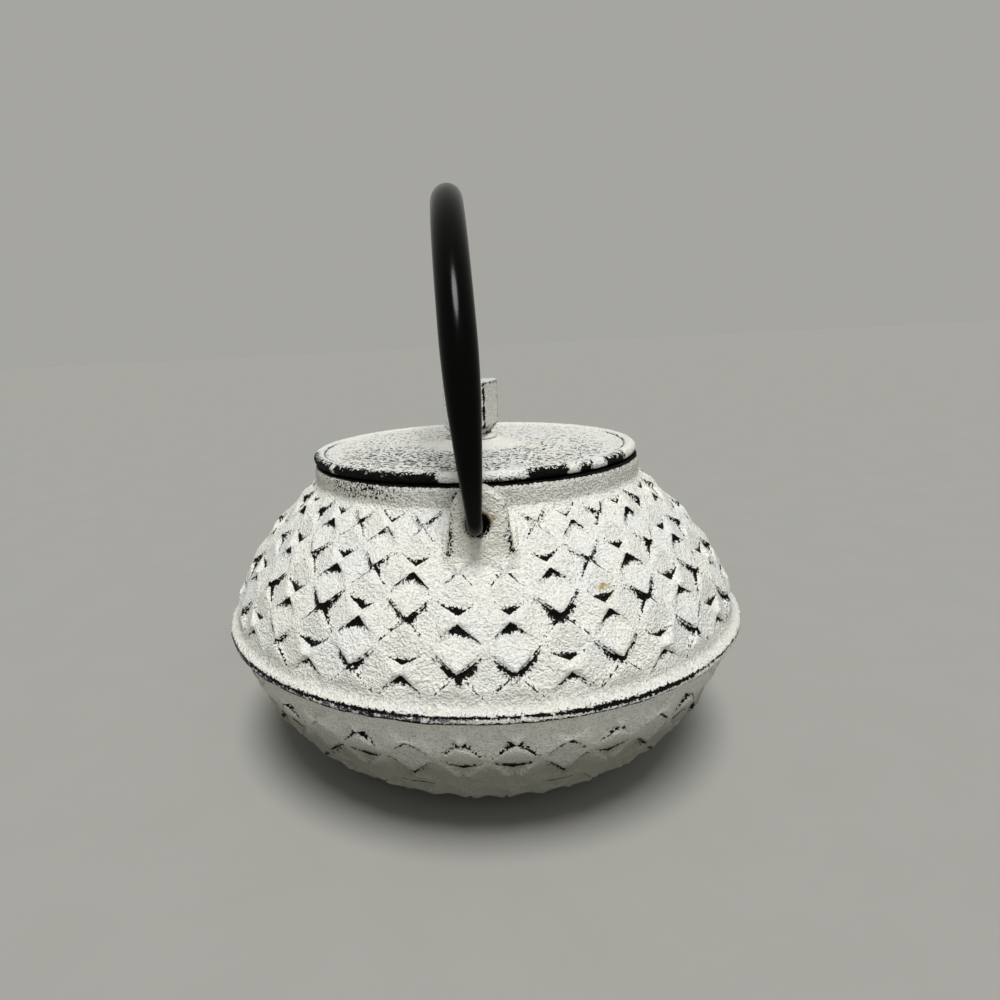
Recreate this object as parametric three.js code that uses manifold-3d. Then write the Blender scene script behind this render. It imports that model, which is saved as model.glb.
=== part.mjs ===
// Cast-iron teapot of tetsubin form: a squat pot with a folded-diamond relief above and below a rib
// round its belly, two ears, a short spout, a lid with a cube knob, a swinging bail handle, and a
// removable steel infuser that hangs in the mouth.
// Millimetres. The table is z = 0 and the pot's axis is +Z. The ears lie on the Y axis, the spout
// points along +Y, and the bail swings about a line along Y.
import * as THREE from 'three';
import { mergeVertices } from 'three/addons/utils/BufferGeometryUtils.js';
import Module from 'manifold-3d';

const wasm = await Module();
wasm.setup();

// Pot body
const bellyRadius = 77.6;
const bellyHeight = 47;
const wall = 3.6;
const floorThickness = 4.6;
const footRadius = 38;
const footHeight = 2.6;
const footTaper = 1;
const bowlPullRadius = 71;
const bowlPullHeight = 12;
const shoulderPullRadius = 78.3;
const shoulderPullHeight = 64.4;

// Rib round the belly, where the two halves of the mould meet
const ribProud = 2.4;
const ribThickness = 2.6;
const ribRootThickness = 4.4;

// Collar and mouth
const collarRadius = 50.2;
const collarFoot = 88.3;
const collarHeight = 5.1;
const lipHeight = 1.1;
const lipSetback = 0.6;
const recessDepth = 5;
const recessWall = 3.4;
const ledgeWidth = 3.8;
const ledgeThickness = 2.6;

// Folded-diamond relief
const reliefColumns = 36;
const reliefRows = 4;
const reliefMargin = 1.1;
const bowlPlainBand = 11;
const reliefHeight = 1;
const cornerShare = 0.06;

// Ears
const pivotHeight = 87;
const earLidGap = 5.2;
const earThickness = 5.5;
const earFootWidth = 17.4;
const earTopWidth = 13.4;
const earTopRise = 11;
const earRootDepth = 3.7;
const earCrown = 5.9;
const earCrownPull = 4.5;
const earChamfer = 0.7;
const earHoleShift = 0.55;

// Spout
const spoutMouthHeight = 87.5;
const spoutMouthReach = 98;
const spoutRootReach = 60;
const spoutRootHeight = 58;
const spoutElbowReach = 85;
const spoutElbowHeight = 63;
const spoutRootRadius = 15;
const spoutTipRadius = 8.2;
const spoutWall = 2.8;

// Bail handle
const bailRadius = 4.5;
const bailTipRadius = 1.9;
const bailPinClearance = 1;
const bailHeight = 169;
const bailBend = 3.6;
const bailHookGap = 1.2;
const bailPinReach = 0.4;
const bailTaperLength = 43;
const bailLean = 2.95;
const bailRest = 0.65;

// Lid
const lidInset = 0.3;
const lidRest = 0.5;
const lidRimThickness = 3;
const lidPlateThickness = 2.8;
const lidRimWidth = 2.9;
const lidRimDrop = 0.15;
const lidDish = 0.6;
const lidSkirtClearance = 0.8;
const lidSkirtPlay = 0.9;
const lidSkirtWidth = 2.8;
const moundRadius = 18;
const moundHeight = 2.2;

// Knob, its screw and washer
const knobWidth = 13.4;
const knobHeight = 14.3;
const knobBevelHeight = 1.8;
const knobWaist = 10.4;
const knobNeckRadius = 5.6;
const knobFlareRadius = 8.4;
const knobNeckHeight = 1.5;
const knobEdge = 0.6;
const knobTurn = -20;
const screwRadius = 2;
const screwLength = 14;
const screwHeadRadius = 3.8;
const screwHeadFace = 3;
const screwHeadHeight = 2;
const screwSlotWidth = 1;
const screwSlotDepth = 0.8;
const washerRadius = 6;
const washerThickness = 0.8;

// Infuser
const sheet = 0.8;
const meshThickness = 0.7;
const infuserMouthGap = 2.4;
const infuserDepth = 48;
const infuserRimSkirt = 8;
const infuserCupHeight = 6;
const infuserCupLedge = 9.5;
const seamWidth = 5;

// Clearances between pieces
const gap = 0.3;
const slipFit = 0.5;

// Fineness of the forms
const turnSteps = 2 * reliefColumns;
const smoothSteps = 48;
const lidSteps = 60;
const lidRimSteps = 6;
const moundSteps = 4;
const screwSteps = 20;
const hollowSteps = 9;
const plainBandSteps = 3;
const spoutSides = 20;
const spoutSteps = 10;
const bailSides = 12;
const archSteps = 24;
const legSteps = 3;
const bendSteps = 4;

// Heights and radii that follow from the sizes above
const collarTop = collarFoot + collarHeight + lipHeight;
const ledgeHeight = collarTop - recessDepth;
const recessRadius = collarRadius - recessWall;
const mouthRadius = recessRadius - ledgeWidth;
const lidSeat = collarTop + gap;
const lidRadius = collarRadius - lidInset;
const earHoleRadius = bailTipRadius + bailPinClearance;

const colours = {
  chalkWhite: 0xdedbd2,
  gloss: 0x0c0c0d,
  steel: 0xb9bbbd,
};

function paintedIron(colour) {
  return new THREE.MeshStandardMaterial({ color: colour, roughness: 0.85, metalness: 0 });
}

function gloss(colour) {
  return new THREE.MeshStandardMaterial({ color: colour, roughness: 0.3, metalness: 0.2 });
}

function steel() {
  return new THREE.MeshStandardMaterial({ color: colours.steel, roughness: 0.35, metalness: 1 });
}

// Solids: a closed geometry becomes a solid for joining and cutting, and turns back afterwards
function toSolid(geometry) {
  const bare = geometry.clone();
  bare.deleteAttribute('normal');
  bare.deleteAttribute('uv');
  const merged = mergeVertices(bare, 1e-4);
  return new wasm.Manifold(new wasm.Mesh({
    numProp: 3,
    vertProperties: new Float32Array(merged.attributes.position.array),
    triVerts: new Uint32Array(merged.index.array),
  }));
}

function toGeometry(solid) {
  const mesh = solid.getMesh();
  const geometry = new THREE.BufferGeometry();
  geometry.setAttribute('position', new THREE.BufferAttribute(new Float32Array(mesh.vertProperties), 3));
  geometry.setIndex(new THREE.BufferAttribute(new Uint32Array(mesh.triVerts), 1));
  geometry.computeVertexNormals();
  return geometry;
}

function fromTriangles(corners) {
  return new THREE.BufferGeometry().setFromPoints(corners);
}

// A turned form about +Z from a profile of [radius, height] points, starting and ending on the axis
function turned(profile, steps = smoothSteps) {
  const points = profile.map(([radius, height]) => new THREE.Vector2(radius, height));
  return new THREE.LatheGeometry(points, steps).rotateX(Math.PI / 2);
}

// A turned ring: the profile closes on itself, and runs counterclockwise with the axis on its left
function turnedRing(profile, steps = smoothSteps) {
  return turned([...profile, profile[0]], steps);
}

function plainCylinder(radius, low, high, steps) {
  const geometry = new THREE.CylinderGeometry(radius, radius, high - low, steps);
  return geometry.rotateX(Math.PI / 2).translate(0, 0, (low + high) / 2);
}

// A round bar whose centre line lies in the YZ plane and whose radius changes along it. It has a
// ring at each station, and the stations are distances along the centre line in rising order.
function taperedBar(centreAt, radiusAt, stations, sides) {
  const start = stations[0];
  const end = stations[stations.length - 1];
  const rings = stations.map((distance) => barRing(centreAt, radiusAt(distance), distance, sides));
  const corners = [];
  stackRings(corners, rings);
  capRing(corners, rings[0], centreAt(start), true);
  capRing(corners, rings[rings.length - 1], centreAt(end), false);
  return fromTriangles(corners);
}

function barRing(centreAt, radius, distance, sides) {
  const nudge = 0.001;
  const across = new THREE.Vector3(1, 0, 0);
  const ahead = centreAt(distance + nudge).sub(centreAt(distance - nudge)).normalize();
  const up = new THREE.Vector3().crossVectors(ahead, across);
  const centre = centreAt(distance);
  return Array.from({ length: sides }, (_, side) => {
    const angle = (2 * Math.PI * side) / sides;
    return centre.clone()
      .addScaledVector(across, radius * Math.cos(angle))
      .addScaledVector(up, radius * Math.sin(angle));
  });
}

// Evenly spaced values from one number to another, without the last
function evenly(from, to, count) {
  return Array.from({ length: count }, (_, index) => from + ((to - from) * index) / count);
}

function joinRings(corners, lower, upper) {
  lower.forEach((point, index) => {
    const next = (index + 1) % lower.length;
    corners.push(point, lower[next], upper[next]);
    corners.push(point, upper[next], upper[index]);
  });
}

function capRing(corners, ring, centre, facesBack) {
  ring.forEach((point, index) => {
    const next = ring[(index + 1) % ring.length];
    corners.push(centre, facesBack ? next : point, facesBack ? point : next);
  });
}

// The pot's outside profile: one curve from the belly up to the collar, one down to the foot
const shoulderCurve = new THREE.QuadraticBezierCurve(
  new THREE.Vector2(bellyRadius, bellyHeight),
  new THREE.Vector2(shoulderPullRadius, shoulderPullHeight),
  new THREE.Vector2(collarRadius, collarFoot),
);
const bowlCurve = new THREE.QuadraticBezierCurve(
  new THREE.Vector2(bellyRadius, bellyHeight),
  new THREE.Vector2(bowlPullRadius, bowlPullHeight),
  new THREE.Vector2(footRadius + footTaper, footHeight),
);

// The point where the shoulder, followed from the belly to the collar, first meets a condition
function firstOnShoulder(isReached) {
  let before = 0;
  let after = 1;
  for (let halving = 0; halving < 40; halving += 1) {
    const middle = (before + after) / 2;
    if (isReached(shoulderCurve.getPoint(middle))) {
      after = middle;
    } else {
      before = middle;
    }
  }
  return shoulderCurve.getPoint(after);
}

// The ears stand clear of the lid, and as far out as the pin needs to pass over the shoulder
const shoulderBesidePin = firstOnShoulder((point) => point.y >= pivotHeight - earHoleRadius).x;
const earInnerFace = Math.max(lidRadius + earLidGap, shoulderBesidePin);
const earOuterFace = earInnerFace + earThickness;
const earTopHeight = pivotHeight + earTopRise;
const earRootHeight = firstOnShoulder((point) => point.x <= earOuterFace).y - earRootDepth;

// The relief fills the shoulder from the rib to the collar, and the bowl down to a plain band
const reliefFrom = ribRootThickness / 2 + reliefMargin;
const shoulderPitch = (shoulderCurve.getLength() - reliefFrom) / reliefRows;
const bowlPitch = (bowlCurve.getLength() - reliefFrom - bowlPlainBand) / reliefRows;

// The point at a distance from the belly along one curve, pushed out along the normal by a height
function profilePoint(curve, distance, height) {
  const share = THREE.MathUtils.clamp(distance / curve.getLength(), 0, 1);
  const point = curve.getPointAt(share);
  const tangent = curve.getTangentAt(share);
  const outward = new THREE.Vector2(tangent.y, -tangent.x);
  if (outward.x < 0) {
    outward.negate();
  }
  return point.addScaledVector(outward, height);
}

// A point round the axis. Step 0 faces the front ear, and there are two steps to a relief column.
function around(radius, height, step) {
  const angle = -Math.PI / 2 + (2 * Math.PI * step) / turnSteps;
  return new THREE.Vector3(radius * Math.cos(angle), radius * Math.sin(angle), height);
}

function circle(radius, height) {
  return Array.from({ length: turnSteps }, (_, step) => around(radius, height, step));
}

function profileCircle(curve, distance) {
  const point = profilePoint(curve, distance, 0);
  return circle(point.x, point.y);
}

// Folded-diamond relief. Diamonds stand on a grid of knots, and each is one flat facet tilted the
// other way from its neighbours. At a knot either the upright pair of diamonds is high and the
// sideways pair low, or the reverse, turn about, and the two sides of the pot mirror each other.
function uprightIsHigh(column, row) {
  const fromFront = column < reliefColumns / 2 ? column : reliefColumns - 1 - column;
  return (fromFront + row) % 2 === 0;
}

function reliefPatch(curve, pitch, corners, rowsRunDown) {
  const place = (column, row, height) => {
    const point = profilePoint(curve, reliefFrom + (row + 0.5) * pitch, height);
    return around(point.x, point.y, 2 * column + 1);
  };
  const facet = (a, b, c) => corners.push(a, rowsRunDown ? c : b, rowsRunDown ? b : c);
  const knot = (column, row) => {
    const lift = uprightIsHigh(column, row) ? reliefHeight : -reliefHeight;
    return {
      above: place(column, row + cornerShare, lift),
      below: place(column, row - cornerShare, lift),
      left: place(column - cornerShare, row, -lift),
      right: place(column + cornerShare, row, -lift),
    };
  };
  const flat = (column, row) => place(column, row, 0);
  for (let row = 0; row < reliefRows; row += 1) {
    for (let column = 0; column < reliefColumns; column += 1) {
      const here = knot(column, row);
      const upperLeft = flat(column - 0.5, row + 0.5);
      const upperRight = flat(column + 0.5, row + 0.5);
      const lowerLeft = flat(column - 0.5, row - 0.5);
      const lowerRight = flat(column + 0.5, row - 0.5);
      knotFacets(facet, here, uprightIsHigh(column, row));
      facet(here.right, upperRight, here.above);
      facet(here.above, upperLeft, here.left);
      facet(here.left, lowerLeft, here.below);
      facet(here.below, lowerRight, here.right);
      const beside = knotBeside(knot, column, row);
      facet(here.right, lowerRight, upperRight);
      facet(lowerRight, beside.left, upperRight);
      if (row + 1 < reliefRows) {
        const over = knot(column, row + 1);
        facet(here.above, upperRight, upperLeft);
        facet(upperLeft, upperRight, over.below);
      } else {
        const edge = flat(column, row + 0.5);
        facet(here.above, upperRight, edge);
        facet(here.above, edge, upperLeft);
      }
      if (row === 0) {
        const edge = flat(column, row - 0.5);
        facet(here.below, lowerLeft, edge);
        facet(here.below, edge, lowerRight);
      }
    }
  }
}

// The next knot round the pot, placed past the last column where the pattern closes
function knotBeside(knot, column, row) {
  if (column + 1 < reliefColumns) {
    return knot(column + 1, row);
  }
  return knot(0, row);
}

// The small land at a knot, ridged along its high pair of diamonds
function knotFacets(facet, here, uprightHigh) {
  if (uprightHigh) {
    facet(here.above, here.left, here.below);
    facet(here.above, here.below, here.right);
  } else {
    facet(here.left, here.below, here.right);
    facet(here.left, here.right, here.above);
  }
}

// Rings between two distances along a curve, both ends included
function profileRings(curve, from, to) {
  return [...evenly(from, to, plainBandSteps), to].map((distance) => profileCircle(curve, distance));
}

function stackRings(corners, rings) {
  for (let index = 0; index + 1 < rings.length; index += 1) {
    joinRings(corners, rings[index], rings[index + 1]);
  }
}

function potOutside() {
  const corners = [];
  const ribRadius = bellyRadius + ribProud;
  const foot = circle(footRadius, 0);
  capRing(corners, foot, new THREE.Vector3(0, 0, 0), true);
  stackRings(corners, [
    foot,
    ...profileRings(bowlCurve, bowlCurve.getLength(), bowlCurve.getLength() - bowlPlainBand),
  ]);
  reliefPatch(bowlCurve, bowlPitch, corners, true);
  stackRings(corners, [
    profileCircle(bowlCurve, reliefFrom),
    profileCircle(bowlCurve, ribRootThickness / 2),
    circle(ribRadius, bellyHeight - ribThickness / 2),
    circle(ribRadius, bellyHeight + ribThickness / 2),
    profileCircle(shoulderCurve, ribRootThickness / 2),
    profileCircle(shoulderCurve, reliefFrom),
  ]);
  reliefPatch(shoulderCurve, shoulderPitch, corners, false);
  const collarTopRing = circle(collarRadius - lipSetback, collarTop);
  stackRings(corners, [
    profileCircle(shoulderCurve, shoulderCurve.getLength()),
    circle(collarRadius, collarFoot + collarHeight),
    circle(collarRadius - lipSetback, collarFoot + collarHeight),
    collarTopRing,
  ]);
  capRing(corners, collarTopRing, new THREE.Vector3(0, 0, collarTop), false);
  return toSolid(fromTriangles(corners));
}

// The hollow: the outside profile set in by the wall, under a ledge that carries the infuser
function potHollow() {
  const shoulderSide = [...evenly(0, shoulderCurve.getLength(), hollowSteps), shoulderCurve.getLength()]
    .map((distance) => profilePoint(shoulderCurve, distance, -wall))
    .filter((point) => point.x > recessRadius);
  const bowlSide = evenly(bowlCurve.getLength(), 0, hollowSteps)
    .map((distance) => profilePoint(bowlCurve, distance, -wall))
    .filter((point) => point.y > floorThickness);
  const profile = [
    [0, floorThickness],
    [bowlSide[0].x - wall, floorThickness],
    ...[...bowlSide, ...shoulderSide].map((point) => [point.x, point.y]),
  ];
  profile.push([mouthRadius, ledgeHeight - ledgeThickness]);
  profile.push([mouthRadius, ledgeHeight], [recessRadius, ledgeHeight]);
  profile.push([recessRadius, collarTop + wall], [0, collarTop + wall]);
  return toSolid(turned(profile));
}

// An ear: an upright plate with a rounded top, sunk into the shoulder, with the bail's hole
function ear(holeShift) {
  const outline = new THREE.Shape();
  const shoulderOfEar = earTopHeight - earCrown;
  outline.moveTo(-earFootWidth / 2, earRootHeight);
  outline.lineTo(earFootWidth / 2, earRootHeight);
  outline.lineTo(earTopWidth / 2, shoulderOfEar);
  outline.bezierCurveTo(
    earTopWidth / 2 - earCrownPull, earTopHeight,
    -earTopWidth / 2 + earCrownPull, earTopHeight,
    -earTopWidth / 2, shoulderOfEar,
  );
  const hole = new THREE.Path();
  hole.absarc(holeShift, pivotHeight, earHoleRadius, 0, 2 * Math.PI, true);
  outline.holes.push(hole);
  const plate = new THREE.ExtrudeGeometry(outline, {
    depth: earThickness - 2 * earChamfer,
    bevelEnabled: true,
    bevelThickness: earChamfer,
    bevelSize: earChamfer,
    bevelOffset: -earChamfer,
    bevelSegments: 1,
    curveSegments: 8,
  });
  return plate.translate(0, 0, earChamfer).rotateX(Math.PI / 2).translate(0, -earInnerFace, 0);
}

// The spout's centre line rises from the shoulder, and its mouth is cut level
const spoutCurve = new THREE.QuadraticBezierCurve3(
  new THREE.Vector3(0, spoutRootReach, spoutRootHeight),
  new THREE.Vector3(0, spoutElbowReach, spoutElbowHeight),
  new THREE.Vector3(0, spoutMouthReach, spoutMouthHeight + spoutTipRadius),
);

// The spout as a bar, by share of its length: its ends can overrun the curve in a straight line
function spoutBar(inset, overrun) {
  const stations = [...evenly(-overrun, 1 + overrun, spoutSteps), 1 + overrun];
  const centreAt = (share) => {
    const inside = THREE.MathUtils.clamp(share, 0, 1);
    const past = (share - inside) * spoutCurve.getLength();
    return spoutCurve.getPointAt(inside).addScaledVector(spoutCurve.getTangentAt(inside), past);
  };
  const radiusAt = (share) => {
    const inside = Math.min(share, 1);
    return THREE.MathUtils.lerp(spoutRootRadius, spoutTipRadius, inside) - inset;
  };
  return toSolid(taperedBar(centreAt, radiusAt, stations, spoutSides));
}

function aboveSpoutMouth() {
  const size = 4 * spoutRootRadius;
  const block = new THREE.BoxGeometry(size, size, size);
  return toSolid(block.translate(0, spoutMouthReach, spoutMouthHeight + size / 2));
}

function potBody() {
  const frontEar = toSolid(ear(-earHoleShift));
  const rearEar = toSolid(ear(earHoleShift).rotateZ(Math.PI));
  const spout = spoutBar(0, 0).subtract(aboveSpoutMouth());
  return potOutside()
    .add(spout)
    .add(frontEar)
    .add(rearEar)
    .subtract(potHollow())
    .subtract(spoutBar(spoutWall, 0.1));
}

// The bail's centre line, by distance from its crown: a half circle, straight legs, a tight bend
// outside each ear, and a pin that points inwards through the ear's hole
const bailHalfSpan = earOuterFace + bailHookGap + bailBend;
const bailArc = (Math.PI / 2) * bailHalfSpan;
const bailLeg = bailHeight - bailHalfSpan - pivotHeight - bailBend;
const bailTurn = (Math.PI / 2) * bailBend;
const bailPin = bailHookGap + earThickness + bailPinReach;
const bailHalfLength = bailArc + bailLeg + bailTurn + bailPin;

function bailCentre(distance) {
  const side = Math.sign(distance) || 1;
  let rest = Math.abs(distance);
  if (rest <= bailArc) {
    const angle = rest / bailHalfSpan;
    const height = bailHeight - bailHalfSpan + bailHalfSpan * Math.cos(angle);
    return new THREE.Vector3(0, side * bailHalfSpan * Math.sin(angle), height);
  }
  rest -= bailArc;
  if (rest <= bailLeg) {
    return new THREE.Vector3(0, side * bailHalfSpan, bailHeight - bailHalfSpan - rest);
  }
  rest -= bailLeg;
  if (rest <= bailTurn) {
    const angle = rest / bailBend;
    const reach = bailHalfSpan - bailBend + bailBend * Math.cos(angle);
    return new THREE.Vector3(0, side * reach, pivotHeight + bailBend - bailBend * Math.sin(angle));
  }
  rest -= bailTurn;
  return new THREE.Vector3(0, side * (bailHalfSpan - bailBend - rest), pivotHeight);
}

function bailThickness(distance) {
  const fromEnd = bailArc + bailLeg - Math.abs(distance);
  const share = THREE.MathUtils.clamp(fromEnd / bailTaperLength, 0, 1);
  return THREE.MathUtils.lerp(bailTipRadius, bailRadius, Math.sin((share * Math.PI) / 2));
}

function bailHandle() {
  const half = [
    ...evenly(0, bailArc, archSteps),
    ...evenly(bailArc, bailArc + bailLeg, legSteps),
    ...evenly(bailArc + bailLeg, bailArc + bailLeg + bailTurn, bendSteps),
    bailArc + bailLeg + bailTurn,
    bailHalfLength,
  ];
  const otherHalf = half.slice(1).reverse().map((distance) => -distance);
  const bar = taperedBar(bailCentre, bailThickness, [...otherHalf, ...half], bailSides);
  // It leans to one side, and its pins rest on that side of their holes
  bar.translate(0, 0, -pivotHeight);
  bar.rotateY(THREE.MathUtils.degToRad(-bailLean));
  bar.translate(-earHoleShift - bailRest, 0, pivotHeight);
  return toGeometry(toSolid(bar));
}

// The lid: a dished plate with a rounded rim, a mound in the middle and a skirt inside the recess
const lidTop = lidSeat + lidRimThickness;
const plateTop = lidTop - lidDish;
const moundTop = plateTop + moundHeight;
const lidHoleRadius = screwRadius + slipFit;
const skirtRadius = recessRadius - lidSkirtPlay;
const skirtBottom = lidSeat - (recessDepth - sheet - lidSkirtClearance);

function lidPlate() {
  const plateBottom = plateTop - lidPlateThickness;
  const rimRound = lidRimThickness / 2;
  const profile = [
    [lidHoleRadius, plateBottom],
    [skirtRadius - lidSkirtWidth, plateBottom],
    [skirtRadius - lidSkirtWidth, skirtBottom],
    [skirtRadius, skirtBottom],
    [skirtRadius, lidSeat],
  ];
  for (let step = 0; step <= lidRimSteps; step += 1) {
    const angle = -Math.PI / 2 + (Math.PI * step) / lidRimSteps;
    const radius = lidRadius - rimRound + rimRound * Math.cos(angle);
    profile.push([radius, lidSeat + rimRound + rimRound * Math.sin(angle)]);
  }
  profile.push([lidRadius - lidRimWidth, lidTop - lidRimDrop]);
  profile.push([lidRadius - lidRimWidth - lidDish, plateTop]);
  for (let step = 0; step <= moundSteps; step += 1) {
    const share = step / moundSteps;
    const radius = THREE.MathUtils.lerp(moundRadius, knobFlareRadius, share);
    profile.push([radius, plateTop + moundHeight * share * share]);
  }
  profile.push([lidHoleRadius, moundTop]);
  return toGeometry(toSolid(turnedRing(profile, lidSteps)));
}

// The knob: a cube on a bevelled underside and a flared neck, with a blind hole for its screw
const knobFoot = moundTop + gap;
const knobWaistHeight = knobFoot + knobNeckHeight;
const knobCubeFoot = knobWaistHeight + knobBevelHeight;
const knobTop = knobCubeFoot + knobHeight;
const screwHeadTop = plateTop - lidPlateThickness - gap - washerThickness - gap;

function knobCube() {
  const half = knobWidth / 2 - knobEdge;
  const outline = new THREE.Shape();
  outline.moveTo(-half, -half);
  outline.lineTo(half, -half);
  outline.lineTo(half, half);
  outline.lineTo(-half, half);
  const cube = new THREE.ExtrudeGeometry(outline, {
    depth: knobHeight - 2 * knobEdge,
    bevelEnabled: true,
    bevelThickness: knobEdge,
    bevelSize: knobEdge,
    bevelSegments: 2,
  });
  return toSolid(cube.translate(0, 0, knobCubeFoot + knobEdge));
}

function knobUnderside() {
  const upper = knobWidth * Math.SQRT1_2;
  const lower = knobWaist * Math.SQRT1_2;
  const high = knobCubeFoot + knobEdge;
  const bevel = new THREE.CylinderGeometry(upper, lower, high - knobWaistHeight, 4);
  bevel.rotateY(Math.PI / 4).rotateX(Math.PI / 2);
  return toSolid(bevel.translate(0, 0, (knobWaistHeight + high) / 2));
}

function knobNeck() {
  return toSolid(turned([
    [0, knobFoot],
    [knobFlareRadius, knobFoot],
    [knobNeckRadius, knobWaistHeight],
    [knobNeckRadius, knobCubeFoot],
    [0, knobCubeFoot],
  ], smoothSteps / 2));
}

function lidKnob() {
  const boreTop = screwHeadTop + screwLength + slipFit;
  const bore = toSolid(plainCylinder(screwRadius + gap, knobFoot - gap, boreTop, screwSteps));
  const solid = knobCube().add(knobUnderside()).add(knobNeck()).subtract(bore);
  return toGeometry(solid).rotateZ(THREE.MathUtils.degToRad(knobTurn));
}

function knobScrew() {
  const slot = new THREE.BoxGeometry(3 * screwHeadRadius, screwSlotWidth, 2 * screwSlotDepth);
  const headBottom = screwHeadTop - screwHeadHeight;
  const screw = toSolid(turned([
    [0, headBottom],
    [screwHeadFace, headBottom],
    [screwHeadRadius, headBottom + screwHeadHeight / 2],
    [screwHeadRadius, screwHeadTop],
    [screwRadius, screwHeadTop],
    [screwRadius, screwHeadTop + screwLength],
    [0, screwHeadTop + screwLength],
  ], screwSteps));
  return toGeometry(screw.subtract(toSolid(slot.translate(0, 0, headBottom))));
}

function knobWasher() {
  const low = screwHeadTop + gap;
  return turnedRing([
    [lidHoleRadius, low],
    [washerRadius, low],
    [washerRadius, low + washerThickness],
    [lidHoleRadius, low + washerThickness],
  ], screwSteps);
}

// The infuser hangs by its rim on the ledge in the mouth: a mesh wall between a pressed rim and a
// pressed cup, a mesh disc in the cup, and a strip over the wall's seam
const rimLow = ledgeHeight + gap;
const rimTop = rimLow + sheet;
const bandRadius = mouthRadius - infuserMouthGap;
const infuserRadius = bandRadius - sheet - gap;
const cupOpening = infuserRadius - infuserCupLedge;
const infuserLow = rimTop - infuserDepth;

function infuserRim() {
  const outer = recessRadius - slipFit;
  return turnedRing([
    [bandRadius - sheet, rimLow - infuserRimSkirt],
    [bandRadius, rimLow - infuserRimSkirt],
    [bandRadius, rimLow],
    [outer, rimLow],
    [outer, rimTop],
    [bandRadius - sheet, rimTop],
  ]);
}

function infuserWall() {
  const low = infuserLow + sheet + gap + meshThickness + gap;
  return turnedRing([
    [infuserRadius - meshThickness, low],
    [infuserRadius, low],
    [infuserRadius, rimTop - sheet],
    [infuserRadius - meshThickness, rimTop - sheet],
  ]);
}

function infuserCup() {
  return turnedRing([
    [cupOpening, infuserLow],
    [bandRadius, infuserLow],
    [bandRadius, infuserLow + infuserCupHeight],
    [bandRadius - sheet, infuserLow + infuserCupHeight],
    [bandRadius - sheet, infuserLow + sheet],
    [cupOpening, infuserLow + sheet],
  ]);
}

function infuserBaseMesh() {
  const low = infuserLow + sheet + gap;
  return plainCylinder(infuserRadius, low, low + meshThickness, smoothSteps);
}

function infuserSeam() {
  const low = infuserLow + infuserCupHeight + gap;
  const high = rimLow - infuserRimSkirt - gap;
  const strip = new THREE.BoxGeometry(sheet, seamWidth, high - low);
  return strip.translate(bandRadius - sheet / 2, 0, (low + high) / 2);
}

// The lid has play in its recess, and it rests to one side with all that it carries
function onLid(geometry) {
  return geometry.translate(-lidRest, 0, 0);
}

function piece(name, geometry, material) {
  const mesh = new THREE.Mesh(geometry, material);
  mesh.name = name;
  return mesh;
}

const pot = new THREE.Group();
pot.add(piece('pot_body', toGeometry(potBody()), paintedIron(colours.chalkWhite)));
pot.add(piece('bail_handle', bailHandle(), gloss(colours.gloss)));

const lid = new THREE.Group();
lid.add(piece('lid_plate', onLid(lidPlate()), paintedIron(colours.chalkWhite)));
lid.add(piece('lid_knob', onLid(lidKnob()), paintedIron(colours.chalkWhite)));
lid.add(piece('knob_screw', onLid(knobScrew()), steel()));
lid.add(piece('knob_washer', onLid(knobWasher()), steel()));

const infuser = new THREE.Group();
infuser.add(piece('infuser_rim', infuserRim(), steel()));
infuser.add(piece('infuser_wall', infuserWall(), steel()));
infuser.add(piece('infuser_cup', infuserCup(), steel()));
infuser.add(piece('infuser_base_mesh', infuserBaseMesh(), steel()));
infuser.add(piece('infuser_seam', infuserSeam(), steel()));

const tetsubin = new THREE.Group();
tetsubin.add(pot, lid, infuser);
export default tetsubin;
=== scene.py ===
# Looks for a cast-iron teapot of tetsubin form: castings in worn chalk-white paint, a lacquered bail
# and a steel mesh infuser, fitted over the CAD frame. Metres, unless a name or comment says mm.
import math

import bmesh
import bpy
import numpy as np
from mathutils import Matrix, Vector


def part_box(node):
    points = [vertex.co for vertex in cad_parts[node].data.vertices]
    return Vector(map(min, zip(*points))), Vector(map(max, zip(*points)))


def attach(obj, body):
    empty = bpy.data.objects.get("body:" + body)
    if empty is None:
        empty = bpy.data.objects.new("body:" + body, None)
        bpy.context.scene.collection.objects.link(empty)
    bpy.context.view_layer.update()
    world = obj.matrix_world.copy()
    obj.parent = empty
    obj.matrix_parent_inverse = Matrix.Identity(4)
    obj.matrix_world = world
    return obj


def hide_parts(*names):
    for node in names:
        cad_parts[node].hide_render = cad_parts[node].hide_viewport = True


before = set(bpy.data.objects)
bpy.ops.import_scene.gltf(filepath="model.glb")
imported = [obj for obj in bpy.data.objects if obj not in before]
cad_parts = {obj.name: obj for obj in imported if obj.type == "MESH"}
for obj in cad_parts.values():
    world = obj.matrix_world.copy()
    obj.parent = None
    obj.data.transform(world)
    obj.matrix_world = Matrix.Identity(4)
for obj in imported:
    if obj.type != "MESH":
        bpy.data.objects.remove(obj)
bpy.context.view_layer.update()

MM = 0.001

# Camera: the photograph's place and angles round the pot, for a 1000 x 1000 image
IMAGE_SIZE = 1000
FOCAL_PIXELS = 708.3
AXIS_LEFT_PIXELS = 68.8
SENSOR_WIDTH = 36
CAMERA_DISTANCE = 223.1 * MM
CAMERA_HEIGHT = 132.21 * MM
CAMERA_AZIMUTH = -0.69
CAMERA_YAW = -3.70
CAMERA_PITCH = 13.29
CAMERA_ROLL = -2.87

# Light and floor: the fill's strength from all round, and half the floor's width in metres
FILL_STRENGTH = 0.17
FLOOR_REACH = 6

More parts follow.
